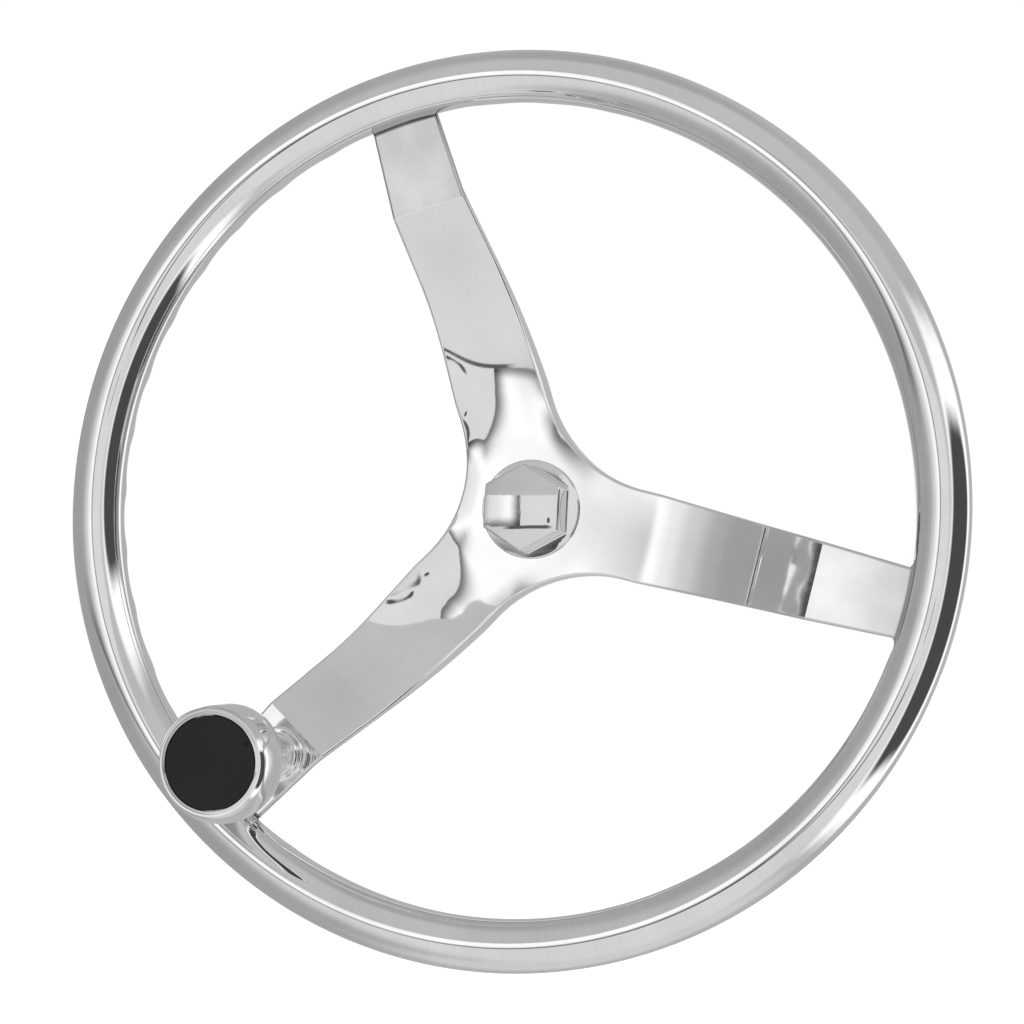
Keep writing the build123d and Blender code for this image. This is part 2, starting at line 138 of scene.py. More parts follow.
def rounded(corners, steps=5):
    """An open outline of (r, y, radius) corners as (r, y) points, each corner rounded by its radius."""
    points = [corners[0][:2]]
    for before, here, after in zip(corners, corners[1:], corners[2:]):
        corner, radius = Vector(here[:2]), here[2]
        back, ahead = Vector(before[:2]) - corner, Vector(after[:2]) - corner
        turn = pi - back.angle(ahead)
        if radius == 0 or turn < 0.02:
            points.append(tuple(corner))
            continue
        reach = min(radius * tan(turn / 2), back.length * 0.49, ahead.length * 0.49)
        start, end = corner + back.normalized() * reach, corner + ahead.normalized() * reach
        for share in spread(0, 1, steps):
            pull = 2 * share * (1 - share)
            points.append(tuple(start * (1 - share) ** 2 + corner * pull + end * share**2))
    points.append(corners[-1][:2])
    return points


class Skin:
    """Points and faces of one piece, in millimetres."""

    def __init__(self):
        self.points = []
        self.faces = []

    def sheet(self, rows, closed=False):
        """Quads between rows of points. A row of one point closes the sheet there."""
        index = []
        for row in rows:
            index.append(list(range(len(self.points), len(self.points) + len(row))))
            self.points.extend(row)
        for a, b in zip(index, index[1:]):
            count = max(len(a), len(b))
            for k in range(count if closed else count - 1):
                after = (k + 1) % count
                quad = [a[k % len(a)], a[after % len(a)], b[after % len(b)], b[k % len(b)]]
                self.faces.append(list(dict.fromkeys(quad)))


def add_piece(name, skin, material, body, node, sharp=32.0, grain=None):
    """Make one piece from its skin: welded, facing outwards, smooth but for edges over `sharp` degrees."""
    mesh = bpy.data.meshes.new(name)
    mesh.from_pydata([tuple(c * MM for c in point) for point in skin.points], [], skin.faces)
    work = bmesh.new()
    work.from_mesh(mesh)
    bmesh.ops.remove_doubles(work, verts=work.verts, dist=2e-6)
    bmesh.ops.recalc_face_normals(work, faces=work.faces)
    work.to_mesh(mesh)
    work.free()
    mesh.shade_smooth()
    mesh.set_sharp_from_angle(angle=radians(sharp))
    if grain:
        field = mesh.attributes.new("grain", "FLOAT_VECTOR", "POINT")
        values = [c for vertex in mesh.vertices for c in grain(vertex.co / MM)]
        field.data.foreach_set("vector", values)
    mesh.materials.append(material)
    piece = bpy.data.objects.new(name, mesh)
    bpy.context.scene.collection.objects.link(piece)
    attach(piece, body)
    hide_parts(node)
    return piece


def lathe(outline, centre=(0.0, 0.0), steps=128):
    """A skin turned about Y through centre, from an outline of (r, y) points."""
    skin = Skin()
    rows = []
    for r, y in outline:
        if r < 1e-6:
            rows.append([(centre[0], y, centre[1])])
            continue
        turns = [2 * pi * k / steps for k in range(steps)]
        rows.append([(centre[0] + r * cos(a), y, centre[1] + r * sin(a)) for a in turns])
    skin.sheet(rows, closed=True)
    return skin


# ---- materials --------------------------------------------------------------------------------

class Shader:
    """A node tree in the making, with short ways to add its nodes."""

    def __init__(self, name, coordinates="Object"):
        self.material = bpy.data.materials.new(name)
        self.material.use_nodes = True
        self.tree = self.material.node_tree
        self.surface = self.tree.nodes["Principled BSDF"]
        if coordinates == "Object":
            self.place = self.tree.nodes.new("ShaderNodeTexCoord").outputs["Object"]
        else:
            attribute = self.tree.nodes.new("ShaderNodeAttribute")
            attribute.attribute_name = coordinates
            self.place = attribute.outputs["Vector"]

    def join(self, value, socket):
        if hasattr(value, "links"):
            self.tree.links.new(value, socket)
        else:
            socket.default_value = value

    def math(self, operation, *values):
        node = self.tree.nodes.new("ShaderNodeMath")
        node.operation = operation
        for value, socket in zip(values, node.inputs):
            self.join(value, socket)
        return node.outputs[0]

    def stretch(self, scale):
        """Coordinates scaled by three factors, so that noise read with them is drawn out."""
        node = self.tree.nodes.new("ShaderNodeVectorMath")
        node.operation = "MULTIPLY"
        self.join(self.place, node.inputs[0])
        node.inputs[1].default_value = scale
        return node.outputs[0]

    def noise(self, scale, detail=2.0, roughness=0.5, place=None):
        node = self.tree.nodes.new("ShaderNodeTexNoise")
        self.join(place or self.place, node.inputs["Vector"])
        node.inputs["Scale"].default_value = scale
        node.inputs["Detail"].default_value = detail
        node.inputs["Roughness"].default_value = roughness
        return node.outputs["Fac"]

    def fit(self, value, low, high, new_low, new_high):
        """Map a value's range onto another, held at its ends."""
        node = self.tree.nodes.new("ShaderNodeMapRange")
        for socket, number in zip(node.inputs, (value, low, high, new_low, new_high)):
            self.join(number, socket)
        return node.outputs[0]

    def tint(self, value, dark, light):
        node = self.tree.nodes.new("ShaderNodeValToRGB")
        self.join(value, node.inputs["Fac"])
        node.color_ramp.elements[0].color = (*dark, 1)
        node.color_ramp.elements[1].color = (*light, 1)
        return node.outputs["Color"]

    def part(self, vector, axis):
        node = self.tree.nodes.new("ShaderNodeSeparateXYZ")
        self.join(vector, node.inputs[0])
        return node.outputs[axis]

    def mix(self, share, first, second):
        node = self.tree.nodes.new("ShaderNodeMixRGB")
        for value, socket in zip((share, first, second), node.inputs):
            self.join(value, socket)
        return node.outputs["Color"]

    def bump(self, height, distance, under=None):
        """Relief of that height in metres."""
        node = self.tree.nodes.new("ShaderNodeBump")
        node.inputs["Strength"].default_value = 1.0
        node.inputs["Distance"].default_value = distance
        self.join(height, node.inputs["Height"])
        if under:
            self.join(under, node.inputs["Normal"])
        return node.outputs["Normal"]

    def finish(self, color, roughness, metallic=0.0, normal=None, **constants):
        self.join(color, self.surface.inputs["Base Color"])
        self.join(roughness, self.surface.inputs["Roughness"])
        self.surface.inputs["Metallic"].default_value = metallic
        for name, value in constants.items():
            self.surface.inputs[name.replace("_", " ")].default_value = value
        if normal:
            self.join(normal, self.surface.inputs["Normal"])
        return self.material


def grey(value):
    return (value, value, value)


# A thin band of painted shade, standing in for the dark crease where the tabs meet the tube.
PAINTED_JOINT_SHADE = (0.1732, 0.1738)    # metres from the wheel's axis, where the tabs meet the tube


def polished_steel(name, coordinates="Object", drawn=(1, 1, 1), streaked=0.08, painted_shade_from=None):
    """Mirror-polished stainless steel: faint buffing lines, soft clouding and a slightly uneven surface.

    The tabs, from the distance given along the arm in metres, are painted darker than the arms, with scuff
    mottling:
    painted shade, the top one darkest of all by where it sits. A dark line of painted shade follows their joint
    with the tube.
    """
    s = Shader(name, coordinates)
    clouds = s.noise(22.0, 3.0)
    buffing = s.noise(900.0, 2.0, place=s.stretch(drawn))
    color = s.tint(s.fit(clouds, 0.3, 0.7, 0.0, 1.0), grey(0.73), grey(0.84))
    streaks = s.fit(s.noise(520.0, 3.0, 0.65, place=s.stretch(drawn)), 0.3, 0.7, 0.0, 1.0)
    color = s.mix(streaked, color, s.tint(streaks, grey(0.70), grey(0.86)))
    # Painted shade: the tabs get a darker copy of the steel colour, and the top tab a darker one still because of
    # where it sits. Scuff noise mottles both copies.
    if painted_shade_from:
        place = s.tree.nodes.new("ShaderNodeTexCoord").outputs["Object"]
        across, height = s.part(place, "X"), s.part(place, "Z")
        tab = s.fit(s.part(s.place, "X"), painted_shade_from, painted_shade_from + 0.0002, 0.0, 1.0)
        top = s.math("GREATER_THAN", height, 0.1)
        scuffs = s.fit(s.noise(60.0, 4.0), 0.3, 0.7, 0.0, 1.0)
        side_tab_painted_shade = s.tint(scuffs, grey(0.66), grey(0.76))
        top_tab_painted_shade = s.tint(scuffs, grey(0.46), grey(0.55))
        color = s.mix(tab, color, s.mix(top, side_tab_painted_shade, top_tab_painted_shade))
        # Painted shade: a dark line along each tab's joint with the tube, in place of the crease's shade.
        squares = s.math("ADD", s.math("MULTIPLY", across, across), s.math("MULTIPLY", height, height))
        joint = s.fit(s.math("SQRT", squares), *PAINTED_JOINT_SHADE, 0.0, 1.0)
        color = s.mix(joint, color, s.tint(scuffs, grey(0.10), grey(0.26)))
    haze = s.math("MULTIPLY_ADD", buffing, 0.03, s.fit(clouds, 0.35, 0.75, 0.012, 0.05))
    unevenness = s.bump(s.noise(38.0, 1.0), 0.000012)
    lines = s.bump(buffing, 0.0000006, under=unevenness)
    return s.finish(color, haze, 1.0, lines)


def machined_steel(name, value, rough, drawn=(1, 1, 1)):
    """Steel left as turned, drawn or ground."""
    s = Shader(name)
    lines = s.noise(1600.0, 3.0, place=s.stretch(drawn))
    clouds = s.noise(60.0, 3.0)
    color = s.tint(s.fit(clouds, 0.3, 0.7, 0.0, 1.0), grey(value * 0.9), grey(value * 1.06))
    return s.finish(color, s.fit(lines, 0.3, 0.7, rough - 0.06, rough + 0.08), 1.0, s.bump(lines, 0.000004))


def moulded(name, value, rough, grain_scale, grain_depth, specular=0.5):
    """Moulded plastic or rubber with a fine grain."""
    s = Shader(name)
    grain = s.noise(grain_scale, 3.0, 0.6)
    clouds = s.noise(45.0, 2.0)
    color = s.tint(s.fit(clouds, 0.3, 0.7, 0.0, 1.0), grey(value * 0.85), grey(value * 1.15))
    roughness = s.fit(grain, 0.3, 0.7, rough - 0.06, rough + 0.06)
    return s.finish(color, roughness, 0.0, s.bump(grain, grain_depth), Specular_IOR_Level=specular)


def weld_steel():
    s = Shader("weld_steel")
    clouds = s.noise(160.0, 4.0)
    color = s.tint(s.fit(clouds, 0.3, 0.7, 0.0, 1.0), (0.42, 0.40, 0.37), (0.70, 0.69, 0.67))
    return s.finish(color, s.fit(clouds, 0.3, 0.7, 0.22, 0.4), 1.0, s.bump(s.noise(900.0, 3.0), 0.00004))


STEEL = polished_steel("polished_steel")
RIM_STEEL = polished_steel("polished_rim", "grain", (1.0, 1.0, 0.05), 0.18)
# Beyond the crease the arms' tabs get painted shade, darkest on the top tab.
ARM_STEEL = polished_steel("polished_arm", "grain", (0.02, 0.6, 0.6), 0.12, CREASE_R * MM)
MATERIALS = {
    "polished_steel": STEEL,
    "weld_steel": weld_steel(),
    "plain_steel": machined_steel("plain_steel", 0.60, 0.30),
    "turned_steel": machined_steel("turned_steel", 0.66, 0.24, (0.05, 1.0, 0.05)),
    "dark_steel": machined_steel("dark_steel", 0.10, 0.38),
    "gasket_rubber": moulded("gasket_rubber", 0.035, 0.65, 900.0, 0.00002, 0.3),
    "pad_rubber": moulded("pad_rubber", 0.05, 0.8, 500.0, 0.00005, 0.3),
    "acetal": moulded("acetal", 0.78, 0.42, 1200.0, 0.000008),
    "core_nylon": moulded("core_nylon", 0.09, 0.5, 700.0, 0.00002),
    "black_insert": moulded("black_insert", 0.009, 0.52, 1500.0, 0.00002, 0.3),
}


# ---- rim --------------------------------------------------------------------------------------

RIM_STEPS = GRIP_COUNT * 18
SECTION_STEPS = 72


def grip_dent(turn, lean):
    """How far the tube is pressed in, at an angle round the wheel and one round the tube's section."""
    fade = smooth_step(*GRIP_FADE_IN, lean) * (1 - smooth_step(*GRIP_FADE_OUT, lean))
    wave = sin(pi * (turn - GRIP_START) * GRIP_COUNT / 360)
    crest = sqrt(wave * wave + GRIP_SOFTNESS**2) / sqrt(1 + GRIP_SOFTNESS**2)
    return GRIP_DEPTH * fade * (1 - crest)


def rim_grain(place):
    """Coordinates that change round the wheel but hardly round the tube, so that streaks run across it."""
    reach = hypot(place.x, place.z)
    return (place.x / reach * RIM_R * MM, place.z / reach * RIM_R * MM, place.y * MM)


def rim():
    """The bent tube with its finger grips. The section's angle runs from the inner side to the rear."""
    skin = Skin()
    rows = []
    for step in range(RIM_STEPS + 1):
        turn = (step % RIM_STEPS) * 360 / RIM_STEPS
        row = []
        for lean in (360 * k / SECTION_STEPS for k in range(SECTION_STEPS)):
            radius = TUBE_R - grip_dent(turn, lean)
            out = RIM_R - radius * cos(radians(lean))
            row.append(on_wheel(out, 0, RIM_Y + radius * sin(radians(lean)), turn))
        rows.append(row)
    skin.sheet(rows, closed=True)
    return add_piece("rim", skin, RIM_STEEL, "wheel", "rim_tube", grain=rim_grain)


# ---- spider -----------------------------------------------------------------------------------

def dished(station, crease_r, crease_y, slope, level):
    """Height of a face at a station: flat at the hub, then the dish's arc, then the straight slope."""
    lean = radians(slope)
    corner = crease_r - (level - crease_y) / tan(lean)
    start = corner - DISH_R * tan(lean / 2)
    end = start + DISH_R * sin(lean)
    if station <= start:
        return level
    if station >= end:
        return crease_y + (crease_r - station) * tan(lean)
    return level - DISH_R + sqrt(DISH_R**2 - (station - start) ** 2)


def web_roll(station, beside, turn):
    """How far the front falls back towards a web's edge. It falls most on the left, least below."""
    across = hypot(min(station - WEB_AT[0], 0), WEB_AT[1] - abs(beside)) - WEB_R
    share = 0.5 - 0.45 * cos(turn) + 0.1 * sin(turn)
    bend = ROLL_BEND * share * (1 - smooth_step(*ROLL_FADE, hypot(station, beside)))
    return bend * max(ROLL_WIDE - across, 0) ** 2 / 2


def hollow(station, beside, angle):
    """Rise of the hub's front face towards the webs and the arms' edges. It is deepest on the left."""
    reach = hypot(station, beside)
    turn = radians(angle - ARM_ANGLES["right"]) + atan2(beside, station)
    depth = HOLLOW_BEND * (0.6 - 0.45 * cos(turn))
    turned = (1 - cos(3 * atan2(beside, station))) / 2
    bowl = depth * max(reach - HOLLOW_R, 0) ** 2 / 2
    leftward = -on_wheel(station, beside, 0, angle)[0]
    leaning = smooth_step(*LEAN_IN, reach) * (1 - smooth_step(*LEAN_OUT, reach))
    lean = LEAN * leftward * (1 - cos(turn)) / 2 * leaning
    share = turned * (1 - 0.65 * smooth_step(0.5, 1.0, turned)) * (1 - smooth_step(*HOLLOW_FADE, reach))
    return bowl * share + lean - web_roll(station, beside, turn)


def front_y(station, beside, angle):
    if station >= CREASE_R:
        return CREASE_Y - (station - CREASE_R) * tan(radians(TAB_SLOPE))
    return dished(station, CREASE_R, CREASE_Y, ARM_SLOPE, HUB_FACE_Y) - hollow(station, beside, angle)


def rear_y(station, *_):
    rise = tan(radians(TAB_SLOPE))
    if station >= REAR_CREASE_R:
        return CREASE_Y + TAB_THICK - (station - CREASE_R) * rise
    crease_y = CREASE_Y + TAB_THICK - (REAR_CREASE_R - CREASE_R) * rise
    return dished(station, REAR_CREASE_R, crease_y, REAR_SLOPE, ARM_REAR_Y)


def arm_edge():
    """Outline of half an arm, from the middle of the web to the rim: (along, beside, inward normal)."""
    half = HALF_WIDTHS[0][1]
    corner = half / sin(radians(60))
    reach = WEB_R * tan(radians(30))
    centre = (corner * cos(radians(60)) + reach, half + WEB_R)
    edge = []
    for angle in spread(240, 270, 25):
        normal = (cos(radians(angle)), sin(radians(angle)))
        edge.append((centre[0] + WEB_R * normal[0], centre[1] + WEB_R * normal[1], normal))
    bends = [CREASE_R - BEND_R, CREASE_R, CREASE_R + BEND_R]
    rear_bends = [REAR_CREASE_R - BEND_R, REAR_CREASE_R, REAR_CREASE_R + BEND_R]
    stations = spread(centre[0], bends[0], 60)[1:] + bends[1:] + rear_bends
    stations += spread(rear_bends[-1], TAB_END_R, 14)[1:]
    for station in stations:
        edge.append((station, between(HALF_WIDTHS, station), (0.0, -1.0)))
    return edge


ACROSS = [-1, -0.985, -0.965] + spread(-0.94, 0.94, 37) + [0.965, 0.985, 1]    # points across a face


def bow(edge_along, edge_beside, middle):
    """Points across an arm on the arc through both edges and the middle of the row."""
    rise = middle - edge_along
    if rise < 0.01:
        return [(edge_along, edge_beside * u) for u in ACROSS]
    radius = (rise**2 + edge_beside**2) / (2 * rise)
    centre = middle - radius
    half = atan2(edge_beside, edge_along - centre)
    return [(centre + radius * cos(half * u), radius * sin(half * u)) for u in ACROSS]


ROUND_STEPS = 5            # points round an edge


def face_rows(height, edge_r, hub_rows, towards, angle):
    """Rows of (along, beside, y) over one face of a third of the spider, from the hub's hole outwards.

    towards is +1 where the face's edges fall back towards +Y, and -1 where they fall towards -Y.
    """
    rows = []
    for r, y in hub_rows:
        turns = [radians(60 * u) for u in ACROSS]
        rise = [hollow(r * cos(t), r * sin(t), angle) if towards > 0 else 0.0 for t in turns]
        rows.append([(r * cos(t), r * sin(t), y - h) for t, h in zip(turns, rise)])
    sides = [], []
    for along, beside, normal in arm_edge():
        inner = (along + normal[0] * edge_r, beside + normal[1] * edge_r)
        level = hypot(*inner) - inner[0]
        middle = inner[0] + level * (1 - smooth_step(20, 66, inner[0]))
        rows.append([(a, b, height(a, b, angle)) for a, b in bow(inner[0], inner[1], middle)])
        for sign, side_rows in zip((1, -1), sides):
            side = []
            for lean in spread(90, 0, ROUND_STEPS):
                inset = edge_r * (1 - cos(radians(lean)))
                drop = edge_r * (1 - sin(radians(lean)))
                a, b = along + normal[0] * inset, sign * (beside + normal[1] * inset)
                side.append((a, b, height(a, b, angle) + towards * drop))
            side_rows.append(side)
    return rows, sides


def coped(point):
    """Move a point at a tab's end along the arm, to just inside the tube's surface."""
    along, beside, y = point
    surface = RIM_R - sqrt(max(TUBE_R**2 - (y - RIM_Y) ** 2, 0)) + 0.7
    return (sqrt(surface**2 - beside**2), beside, y)


def spider():
    web = arm_edge()[0]
    web_r = hypot(web[0], web[1])
    front_hub = [(r, HUB_FACE_Y) for r in spread(BOSS_R, web_r - EDGE_R - 0.15, 12) + [web_r - EDGE_R]]
    step = HUB_R - 0.6
    rear_hub = [(r, HUB_REAR_Y) for r in spread(BOSS_R, step, 5)]
    rear_hub += [(HUB_R - 0.17, HUB_REAR_Y - 0.17), (HUB_R, HUB_REAR_Y - 0.6), (HUB_R, ARM_REAR_Y + 0.5)]
    rear_hub += [(HUB_R + 0.15, ARM_REAR_Y + 0.15), (HUB_R + 0.5, ARM_REAR_Y)]
    rear_hub += [(web_r - REAR_EDGE_R - 0.15, ARM_REAR_Y), (web_r - REAR_EDGE_R, ARM_REAR_Y)]
    skin = Skin()
    for angle in ARM_ANGLES.values():
        front, front_sides = face_rows(front_y, EDGE_R, front_hub, 1, angle)
        rear, rear_sides = face_rows(rear_y, REAR_EDGE_R, rear_hub, -1, angle)
        walls = []
        for high_side, low_side in zip(front_sides, rear_sides):
            wall = []
            for high, low in zip(high_side, low_side):
                start, end = high[-1], low[-1]
                middle = [tuple(a + (b - a) * u for a, b in zip(start, end)) for u in (0.33, 0.67)]
                wall.append(high + middle + low[::-1])
            walls.append(wall)
        for sheet in (front, rear, *walls):
            sheet[-1] = [coped(p) for p in sheet[-1]]
        for sheet in (front, rear, *walls, [front[0], rear[0]]):
            skin.sheet([[on_wheel(*p, angle) for p in row] for row in sheet])
        loop = front[-1] + walls[0][-1][1:-1] + rear[-1][::-1] + walls[1][-1][1:-1][::-1]
        first = len(skin.points)
        skin.points.extend(on_wheel(*p, angle) for p in loop)
        skin.faces.append(list(range(first, first + len(loop))))
    return add_piece("arms_and_hub", skin, ARM_STEEL, "wheel", "spider", grain=arm_grain)


def arm_grain(place):
    """Coordinates that follow the nearest arm, so that buffing lines run along it."""
    turn = degrees(atan2(place.z, place.x))
    nearest = min(ARM_ANGLES.values(), key=lambda a: abs((turn - a + 180) % 360 - 180))
    lean = radians(turn - nearest)
    reach = hypot(place.x, place.z)
    return (reach * cos(lean) * MM, reach * abs(sin(lean)) * MM, place.y * MM)


# ---- shaft nut's cap ----------------------------------------------------------------------------

CAP_LOW, CAP_HIGH = box_mm("cap_shell")
CAP_AF = 33.4
CAP_TURN = -3.0
CAP_CORNER_R = 1.6
CAP_CROWN_R = 80.0
CAP_CROWN_AT = (-5.0, -1.0)    # the polished crown's highest point is a little off the middle
CAP_SHOULDER_R = 0.9
CAP_FLANGE_R = CAP_HIGH.x
CAP_FLANGE_THICK = 1.2
CAP_FILLET = 0.8
SIDE_STEPS, CORNER_STEPS = 9, 5


def hexagon(across_flats, corner_r):
    """A hexagon with rounded corners, its flats left and right, as (x, z) points."""
    corner_r = max(corner_r, 0.2)
    inner = (across_flats / 2 - corner_r) / cos(radians(30))
    points = []
    for k in range(6):
        angle = 30 + 60 * k + CAP_TURN
        corner = (inner * cos(radians(angle)), inner * sin(radians(angle)))
        for lean in (radians(a) for a in spread(angle - 30, angle + 30, CORNER_STEPS)):
            points.append((corner[0] + corner_r * cos(lean), corner[1] + corner_r * sin(lean)))
        after = angle + 60
        start = points[-1]
        end = (inner * cos(radians(after)) + corner_r * cos(radians(angle + 30)),
               inner * sin(radians(after)) + corner_r * sin(radians(angle + 30)))
        for u in spread(0, 1, SIDE_STEPS)[1:-1]:
            points.append((start[0] + (end[0] - start[0]) * u, start[1] + (end[1] - start[1]) * u))
    return points


def nut_cap():
    """Pressed cap: round flange, small fillet, hexagonal wall, rounded shoulder and crowned top."""
    seat, crown = CAP_HIGH.y, CAP_LOW.y
    flange_top = seat - CAP_FLANGE_THICK
    wall = hexagon(CAP_AF, CAP_CORNER_R)
    bearing = [atan2(z, x) for x, z in wall]

    def circle(r, y):
        return [(r * cos(a), y, r * sin(a)) for a in bearing]

    def dome(x, z):
        off = (x - CAP_CROWN_AT[0]) ** 2 + (z - CAP_CROWN_AT[1]) ** 2
        return crown + CAP_CROWN_R - sqrt(CAP_CROWN_R**2 - off)

    rows = [circle(CAP_FLANGE_R - 4, seat)]
    edge = CAP_FLANGE_THICK / 2
    for lean in (radians(a) for a in spread(-90, 90, 9)):
        rows.append(circle(CAP_FLANGE_R - edge + edge * cos(lean), seat - edge - edge * sin(lean)))
    for lean in spread(0, 90, 6):
        out = CAP_FILLET * (1 - sin(radians(lean)))
        rise = CAP_FILLET * (1 - cos(radians(lean)))
        ring = hexagon(CAP_AF + 2 * out, CAP_CORNER_R + out)
        rows.append([(x, flange_top - rise, z) for x, z in ring])
    for inset in [CAP_SHOULDER_R * (1 - cos(radians(a))) for a in spread(0, 90, 7)]:
        extra = CAP_SHOULDER_R - sqrt(max(CAP_SHOULDER_R**2 - (CAP_SHOULDER_R - inset) ** 2, 0))
        ring = hexagon(CAP_AF - 2 * inset, CAP_CORNER_R - inset)
        rows.append([(x, dome(x, z) + extra, z) for x, z in ring])
    for share in (0.9, 0.75, 0.6, 0.45, 0.3, 0.15):
        top = [(x * share, z * share) for x, z in hexagon(CAP_AF - 2 * CAP_SHOULDER_R, 0.7)]
        rows.append([(x, dome(x, z), z) for x, z in top])
    rows.append([(0.0, dome(0.0, 0.0), 0.0)])
    skin = Skin()
    skin.sheet(rows, closed=True)
    first = len(skin.points)
    skin.points.append((0.0, seat, 0.0))
    skin.faces.extend([k, (k + 1) % len(wall), first] for k in range(len(wall)))
    return add_piece("nut_cap", skin, STEEL, "wheel", "cap_shell")


# ---- control knob -------------------------------------------------------------------------------

KNOB_CENTRE = (KNOB_AXIS.x, KNOB_AXIS.z)
COLLAR_TOP = 13.0                              # above the tab's front face, as all heights here
TAB_Y = box_mm("post_base")[0].y + COLLAR_TOP
BASE_FLANGE_R, COLLAR_R, GROOVE_R = 12.0, 9.2, 8.5
JOURNAL_R = 4.0
SHELL_OUTLINE = [
    (10.2, 19.3), (10.6, 31.0), (14.8, 45.0), (21.6, 56.5), (25.0, 68.5), (23.6, 78.2), (20.9, 83.4),
]
INSERT_R = 19.1


def up(height):
    """Y of a point this high above the tab's front face."""
    return TAB_Y - height


def smooth_curve(points, steps, start, end):
    """Points on a smooth curve through the given ones, with the given end directions."""
    curve = []
    vectors = [Vector(p) for p in points]
    slopes = [(b - a) * 0.5 for a, b in zip(vectors, vectors[2:])]
    slopes = [Vector(start) * (vectors[1] - vectors[0]).length] + slopes
    slopes.append(Vector(end) * (vectors[-1] - vectors[-2]).length)
    for a, b, slope_a, slope_b in zip(vectors, vectors[1:], slopes, slopes[1:]):
        for u in spread(0, 1, steps)[:-1]:
            curve.append(tuple(
                a * (2 * u**3 - 3 * u**2 + 1) + slope_a * (u**3 - 2 * u**2 + u)
                + b * (3 * u**2 - 2 * u**3) + slope_b * (u**3 - u**2)
            ))
    curve.append(tuple(vectors[-1]))
    return curve


def knob_shell():
    """The mushroom-shaped shell, with a fine lip round the insert."""
    outer = smooth_curve(SHELL_OUTLINE, 9, (0, 1), (-0.75, 0.65))
    face = SHELL_OUTLINE[-1][1]
    low = SHELL_OUTLINE[0]
    seat = INSERT_R + 0.15
    outline = [(JOURNAL_R + 2, low[1] + 0.3), (low[0] - 0.5, low[1] + 0.05), (low[0] - 0.1, low[1] + 0.3)]
    outline += outer[1:-1]
    outline += [(20.75, face - 0.5), (20.3, face - 0.22), (19.75, face - 0.05), (seat + 0.15, face)]
    outline += [(seat, face - 0.2), (seat, face - 2.5), (0, face - 2.5)]
    skin = lathe([(r, up(h)) for r, h in outline], KNOB_CENTRE, 160)
    return add_piece("knob_dome", skin, STEEL, "knob", "knob_shell")


def knob_neck():
    """The bright ring at the knob's lower end."""
    low, high = 14.3, SHELL_OUTLINE[0][1]
    outline = rounded([
        (8.0, up(low), 0), (9.4, up(low), 0.5), (9.9, up(low + 1.0), 0.6),
        (9.9, up(high - 0.6), 0.3), (9.3, up(high), 0.2), (6.2, up(high), 0),
    ])
    skin = lathe(outline, KNOB_CENTRE)
    return add_piece("knob_neck", skin, STEEL, "knob", "knob_neck_ring")


def post_collar():
    """Flanged collar with its groove, standing on the tab."""
    groove = (9.0, 10.0)
    outline = rounded([
        (BASE_FLANGE_R - 1, up(-0.5), 0), (BASE_FLANGE_R, up(-0.5), 0.1), (BASE_FLANGE_R, up(3.0), 1.0),
        (COLLAR_R, up(3.0), 0.7), (COLLAR_R, up(groove[0]), 0.15),
        (GROOVE_R, up(groove[0] + 0.1), 0.15),
        (GROOVE_R, up(groove[1] - 0.1), 0.15), (COLLAR_R, up(groove[1]), 0.15),
        (COLLAR_R, up(COLLAR_TOP), 0.7), (JOURNAL_R + 0.2, up(COLLAR_TOP), 0),
    ])
    skin = lathe(outline, KNOB_CENTRE)
    return add_piece("post_collar", skin, STEEL, "wheel", "post_base")


def insert_disc():
    """The black disc, with a soft, slightly ragged edge and one small pit near it."""
    face = SHELL_OUTLINE[-1][1]
    skin = Skin()
    steps = 360
    pit = (0.9 * INSERT_R * cos(radians(27)), 0.9 * INSERT_R * sin(radians(27)))
    pit_r, pit_deep = 1.05, 0.7
    rows = []
    profile = [(0.0, 0.0), (0.3, 0.0), (0.6, 0.0)] + [(share, 0.0) for share in spread(0.82, 0.97, 11)]
    profile += [(0.985, 0.05), (1.0, 0.35), (1.0, 1.9)]
    for share, drop in profile:
        if share == 0:
            rows.append([(KNOB_CENTRE[0], up(face), KNOB_CENTRE[1])])
            continue
        row = []
        for k in range(steps):
            angle = 2 * pi * k / steps
            rag = 0.10 * noise.noise(Vector((cos(angle) * 12, sin(angle) * 12, 0.5)))
            r = INSERT_R * share + (rag - 0.10 if share > 0.975 else 0)
            x, z = r * cos(angle), r * sin(angle)
            sunk = pit_deep * (1 - smooth_step(0.75, 1.0, hypot(x - pit[0], z - pit[1]) / pit_r))
            row.append((KNOB_CENTRE[0] + x, up(face - drop - sunk), KNOB_CENTRE[1] + z))
        rows.append(row)
    skin.sheet(rows, closed=True)
    first = len(skin.points)
    skin.faces.append(list(range(first - steps, first)))
    return add_piece("insert_disc", skin, MATERIALS["black_insert"], "knob", "knob_insert")


# ---- welds ------------------------------------------------------------------------------------

def hub_bead():
    """Weld bead round the boss's flange, with its ripples."""
    steps, around, ripples = 360, 10, 84
    foot_r = 23.0
    skin = Skin()
    rows = []
    for k in range(steps + 1):
        turn = 2 * pi * (k % steps) / steps
        uneven = noise.noise(Vector((cos(turn) * 6, sin(turn) * 6, 0)))
        wave = 1 + 0.07 * abs(sin(turn * ripples / 2)) + 0.05 * uneven
        row = []
        for lean in spread(0, 90, around):
            r = BOSS_FLANGE_R - 0.3 + (2.7 * wave) * cos(radians(lean))
            y = HUB_REAR_Y - 0.2 + (2.5 * wave) * sin(radians(lean))
            row.append((r * cos(turn), y, r * sin(turn)))
        row.append((foot_r * cos(turn), HUB_REAR_Y - 0.2, foot_r * sin(turn)))
        rows.append(row)
    skin.sheet(rows, closed=True)
    return add_piece("hub_bead", skin, MATERIALS["weld_steel"], "wheel", "hub_weld", 60)


